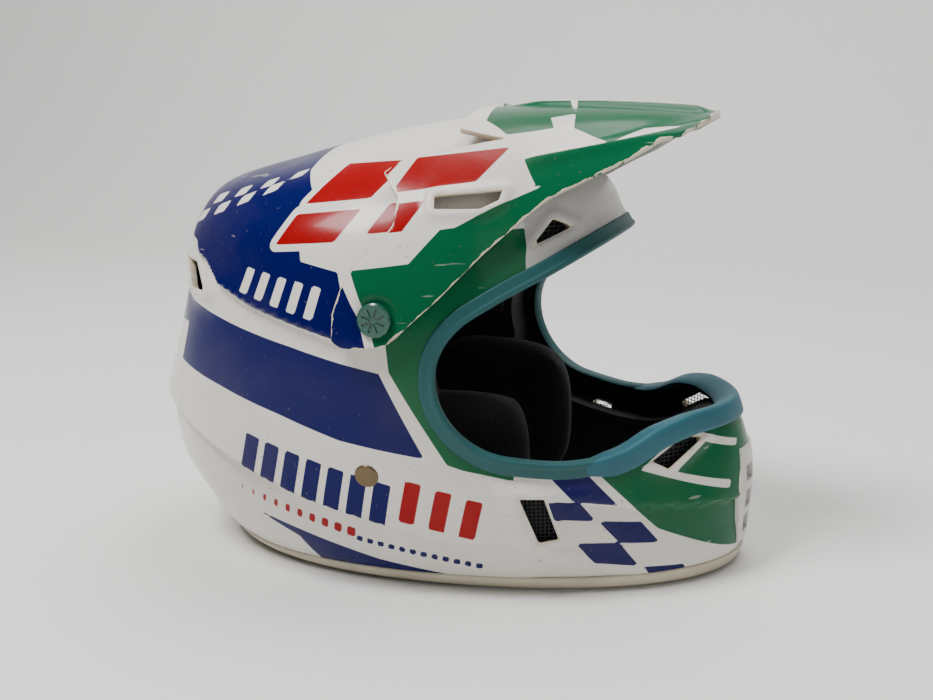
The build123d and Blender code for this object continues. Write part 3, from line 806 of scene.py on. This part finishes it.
def add_node(tree, kind, inputs=None, **settings):
    made = tree.nodes.new(kind)
    for key, value in settings.items():
        setattr(made, key, value)
    for key, value in (inputs or {}).items():
        if isinstance(value, bpy.types.NodeSocket):
            tree.links.new(value, made.inputs[key])
        else:
            made.inputs[key].default_value = value
    return made


def noise(tree, scale, detail=3.0, stretch=None):
    """Noise in object space; scale in cycles per metre."""
    where = add_node(tree, "ShaderNodeTexCoord").outputs["Object"]
    if stretch:
        where = add_node(tree, "ShaderNodeMapping", {"Vector": where, "Scale": stretch}).outputs[0]
    inputs = {"Vector": where, "Scale": scale, "Detail": detail}
    return add_node(tree, "ShaderNodeTexNoise", inputs).outputs[0]


def ramp(tree, value, low, high):
    """0 to 1 as value goes from low to high."""
    inputs = {"Value": value, "From Min": low, "From Max": high, "To Min": 0.0, "To Max": 1.0}
    return add_node(tree, "ShaderNodeMapRange", inputs).outputs[0]


def mix(tree, factor, a, b):
    return add_node(tree, "ShaderNodeMix", {0: factor, 6: a, 7: b}, data_type="RGBA").outputs[2]


def math_node(tree, operation, a, b):
    return add_node(tree, "ShaderNodeMath", {0: a, 1: b}, operation=operation).outputs[0]


def attribute(tree, name):
    return add_node(tree, "ShaderNodeAttribute", attribute_name=name).outputs["Fac"]


def new_material(name):
    material = bpy.data.materials.new(name)
    material.use_nodes = True
    return material, material.node_tree, material.node_tree.nodes["Principled BSDF"]


def surface(tree, shader, colour, roughness, bump=None, strength=0.2, distance=0.0003, **extra):
    for key, value in {"Base Color": colour, "Roughness": roughness}.items():
        if isinstance(value, bpy.types.NodeSocket):
            tree.links.new(value, shader.inputs[key])
        else:
            shader.inputs[key].default_value = value
    for key, value in extra.items():
        shader.inputs[key.replace("_", " ")].default_value = value
    if bump is not None:
        inputs = {"Strength": strength, "Distance": distance, "Height": bump}
        tree.links.new(add_node(tree, "ShaderNodeBump", inputs).outputs[0], shader.inputs["Normal"])


def painted(name, base, layers, edge_wear=1.6):
    """Glossy paint whose colours are bounded by distance attributes, with dust, scuffs and chips."""
    material, tree, shader = new_material(name)
    colour = base
    for field, paint, grow in layers:
        mask = ramp(tree, attribute(tree, field), grow + 0.12, grow - 0.12)
        colour = mix(tree, mask, colour, paint)
    grime = ramp(tree, noise(tree, 14, 5), 0.50, 0.78)
    colour = mix(tree, math_node(tree, "MULTIPLY", grime, 0.13), colour, srgb(120, 108, 92))
    speck = ramp(tree, noise(tree, 420, 2), 0.70, 0.74)
    colour = mix(tree, math_node(tree, "MULTIPLY", speck, 0.45), colour, srgb(96, 90, 84))
    scratch = ramp(tree, noise(tree, 60, 2, (0.25, 1.0, 3.2)), 0.72, 0.74)
    colour = mix(tree, math_node(tree, "MULTIPLY", scratch, 0.28), colour, srgb(205, 202, 196))
    reach = math_node(tree, "MULTIPLY", ramp(tree, noise(tree, 110, 4), 0.42, 0.72), edge_wear)
    near_edge = math_node(tree, "LESS_THAN", attribute(tree, "rim"), reach)
    chipped = math_node(tree, "MULTIPLY", near_edge, 0.9)
    colour = mix(tree, chipped, colour, CREAM)
    rough = math_node(tree, "ADD", math_node(tree, "MULTIPLY", grime, 0.18), 0.2)
    surface(tree, shader, colour, rough, noise(tree, 330, 2), 0.08, 0.0004,
            Coat_Weight=0.07, Coat_Roughness=0.06, Specular_IOR_Level=0.14)
    return material


def plain(name, colour, roughness, scale=300.0, vary=0.12, strength=0.25, distance=0.0003, **extra):
    """One colour with mottling and a fine grain."""
    material, tree, shader = new_material(name)
    dark = tuple(0.55 * v for v in colour[:3]) + (1.0,)
    mottled = mix(tree, math_node(tree, "MULTIPLY", ramp(tree, noise(tree, 35, 4), 0.35, 0.75), vary * 3),
                  colour, dark)
    grain = noise(tree, scale, 3)
    rough = math_node(tree, "ADD", math_node(tree, "MULTIPLY", grain, 0.2), roughness - 0.1)
    surface(tree, shader, mottled, rough, grain, strength, distance, **extra)
    return material


def cloth_knit(name, colour):
    """Fine knitted fabric: crossing waves make the loops, with fuzz on top."""
    material, tree, shader = new_material(name)
    where = add_node(tree, "ShaderNodeTexCoord").outputs["Object"]
    loops = []
    for axis in ("X", "Y", "Z"):
        inputs = {"Vector": where, "Scale": 230.0, "Distortion": 0.6, "Detail": 1.0}
        loops.append(add_node(tree, "ShaderNodeTexWave", inputs, bands_direction=axis).outputs[1])
    weave = math_node(tree, "ADD", math_node(tree, "MULTIPLY", loops[0], loops[2]), loops[1])
    light = tuple(min(1, 1.9 * v) for v in colour[:3]) + (1.0,)
    shade = mix(tree, ramp(tree, weave, 0.3, 1.7), colour, light)
    surface(tree, shader, shade, 0.95, weave, 0.3, 0.0004, Sheen_Weight=0.12, Sheen_Roughness=0.5)
    return material


def materials():
    shell_layers = [
        # The brow layer paints the shade under the peak in grey.
        ("blue", NAVY, 0), ("green", GREEN, 0), ("brow_shade", BROW_SHADE_GREY, 0), ("white", WHITE, 0), ("ink", NAVY, 0),
        ("mark", RED, 0), ("red", WHITE, 3.4), ("red", RED, 0),
    ]
    visor_layers = [("green", GREEN, 0), ("blue", NAVY, 0), ("white", WHITE, 0), ("red", WHITE, 2.6),
                    ("red", RED, 0)]
    return {
        "shell_paint": painted("shell paint", WHITE, shell_layers),
        "visor_paint": painted("visor paint", WHITE, visor_layers, 1.5),
        "raw_shell": plain("raw shell", srgb(30, 30, 31), 0.7, 260, 0.2),
        "raw_visor": plain("raw visor", srgb(196, 194, 188), 0.5, 260, 0.1),
        "trim_rubber": plain("trim rubber", srgb(10, 78, 80), 0.55, 420),
        "guard_rubber": plain("guard rubber", srgb(24, 92, 106), 0.55, 420),
        "rim_rubber": plain("rim rubber", srgb(206, 196, 172), 0.55, 300, 0.16),
        "vent_plastic": plain("vent plastic", srgb(212, 208, 200), 0.4, 500),
        "vent_mesh": plain("vent mesh", srgb(70, 74, 76), 0.35, 900, Metallic=0.7),
        "foam": plain("foam", srgb(24, 24, 26), 0.85, 330, 0.2, 0.9, 0.0012),
        "lining_fabric": cloth_knit("lining knit", srgb(17, 17, 19)),
        "screw_plastic": plain("screw plastic", srgb(24, 92, 74), 0.25, 300, Transmission_Weight=0.25,
                               Coat_Weight=0.4),
        "steel": plain("steel", srgb(176, 176, 178), 0.3, 700, Metallic=1.0),
        "brass": plain("brass", srgb(112, 98, 74), 0.38, 700, Metallic=1.0),
        "webbing": plain("webbing", srgb(26, 27, 32), 0.8, 900, 0.12, 0.5, 0.0004, Sheen_Weight=0.2),
        "floor": plain("floor", srgb(232, 231, 228), 0.75, 60, 0.01, 0.02),
    }


def dress(obj, material, inner=None):
    """Give obj its material; a wall made by thicken keeps a second one on its inner face."""
    index = np.zeros(len(obj.data.polygons), np.int32)
    if inner:
        obj.data.polygons.foreach_get("material_index", index)
    obj.data.materials.clear()
    obj.data.materials.append(material)
    if inner:
        obj.data.materials.append(inner)
    obj.data.polygons.foreach_set("material_index", index)


# ---------------------------------------------------------------- studio
def area_light(name, place, target, size, power, colour=(1, 1, 1)):
    data = bpy.data.lights.new(name, "AREA")
    data.shape = "RECTANGLE"
    data.size, data.size_y = size
    data.energy = power
    data.color = colour
    obj = bpy.data.objects.new(name, data)
    obj.location = place
    obj.rotation_euler = (Vector(target) - Vector(place)).to_track_quat("-Z", "Y").to_euler()
    bpy.context.scene.collection.objects.link(obj)


def studio(paint):
    half, back, high = 3.0, 1.6, 3.0
    curve = [(-half, 0.0)] + [(back - 0.5 + 0.5 * math.sin(a), 0.5 - 0.5 * math.cos(a))
                              for a in np.linspace(0, math.pi / 2, 16)] + [(back, high)]
    verts = [(x * 1000, y * 1000, z * 1000) for y, z in curve for x in (-half, half)]
    faces = [(2 * k, 2 * k + 1, 2 * k + 3, 2 * k + 2) for k in range(len(curve) - 1)]
    floor = make_object("studio_floor", verts, faces)
    floor.data.shade_smooth()
    dress(floor, paint["floor"])
    centre = (0, 0, 0.12)
    area_light("key", (-0.7, -0.75, 1.9), centre, (0.7, 0.7), 50)
    area_light("fill", (1.7, -1.2, 0.9), centre, (1.2, 1.4), 5)
    area_light("top", (0.3, 0.5, 1.9), centre, (1.4, 1.0), 26)
    world = bpy.data.worlds.new("studio")
    world.use_nodes = True
    world.node_tree.nodes["Background"].inputs[0].default_value = (0.95, 0.96, 1.0, 1.0)
    world.node_tree.nodes["Background"].inputs[1].default_value = 0.2
    bpy.context.scene.world = world
    data = bpy.data.cameras.new("camera")
    data.lens = LENS
    data.sensor_width = 36.0
    data.clip_start = 0.01
    camera = bpy.data.objects.new("camera", data)
    camera.location = CAMERA_AT
    camera.rotation_euler = (Vector(CAMERA_TO) - Vector(CAMERA_AT)).to_track_quat("-Z", "Y").to_euler()
    bpy.context.scene.collection.objects.link(camera)
    bpy.context.scene.camera = camera


# ---------------------------------------------------------------- assembly
SHORT_ROUTE = [(76, 12), (68, 3.4), (58, 1.6), (36.5, 1.45)]
RING_LOOP = [(36.5, 1.45), (30, 1.25), (28.6, 3.4), (30, 5.6), (33, 5.9), (37, 5.3), (46, 3.4)]
LONG_ROUTE = [(-76, 12), (-68, 3.4), (-58, 1.6), (-40, 1.4), (1, 1.4), (5, 2.6), (5, 6.6), (1, 8.0),
              (-20, 7.8), (-46, 7.0)]
UPPER_ROUTE = [(99, 66), (97.5, 44), (92, 22), (84, 14.5), (77.6, 13)]


def main():
    paint = materials()
    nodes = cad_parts
    shell = build_shell()
    visor = build_visor()
    trim, nose, edge = build_trims()
    made = [
        (shell, "helmet", "shell_paint", ["outer_shell"], "shell_paint"),
        (visor, "visor", "visor_paint", ["visor"], "visor_paint"),
        (trim, "helmet", "trim_rubber", ["eyeport_trim"], "trim_rubber"),
        (nose, "helmet", "trim_rubber", ["nose_guard"], "guard_rubber"),
        (edge, "helmet", "rim_rubber", ["neck_edge_trim"], "rim_rubber"),
    ]
    for vent, outline in VENTS.items():
        for word, side in (("right", -1), ("left", 1)):
            piece = gauze(f"{vent}_gauze_{word}", outline, side)
            made.append((piece, "helmet", "vent_mesh", [f"{vent}_mesh_{word}"], "vent_mesh"))
    pads = {"comfort_liner": (4.6, 2.2), "cheek_pad_right": (4.2, 3.0), "cheek_pad_left": (4.2, 3.0),
            "neck_roll": (4.2, 2.6)}
    for node, (voxel, plump) in pads.items():
        pad = soften(nodes[node], node + "_padding", voxel, plump)
        made.append((pad, "helmet", "lining_fabric", [node], "lining_fabric"))
    upper = [[(side * y, z) for y, z in UPPER_ROUTE] for side in (-1, 1)]
    straps = [
        ("upper_strap_right", upper[0], "helmet", "strap_webbing_upper_right"),
        ("upper_strap_left", upper[1], "helmet", "strap_webbing_upper_left"),
        ("short_strap", SHORT_ROUTE + RING_LOOP[1:], "strap_short", "strap_webbing_short"),
        ("long_strap", LONG_ROUTE, "strap_long", "strap_webbing_long"),
    ]
    for name, route, body, node in straps:
        made.append((strap(name, route), body, "webbing", [node], "webbing"))
    inner = {shell: paint["raw_shell"], visor: paint["raw_visor"]}
    for obj, body, slot, replaced, look in made:
        dress(obj, paint[look], inner.get(obj))
        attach(obj, body)
        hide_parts(*replaced)
    replaced = {name for row in made for name in row[3]}
    for name, obj in nodes.items():
        if name not in replaced:
            dress(obj, paint[obj.data.materials[0].name.split(".")[0]])
            obj.data.set_sharp_from_angle(angle=math.radians(35))
    studio(paint)


main()
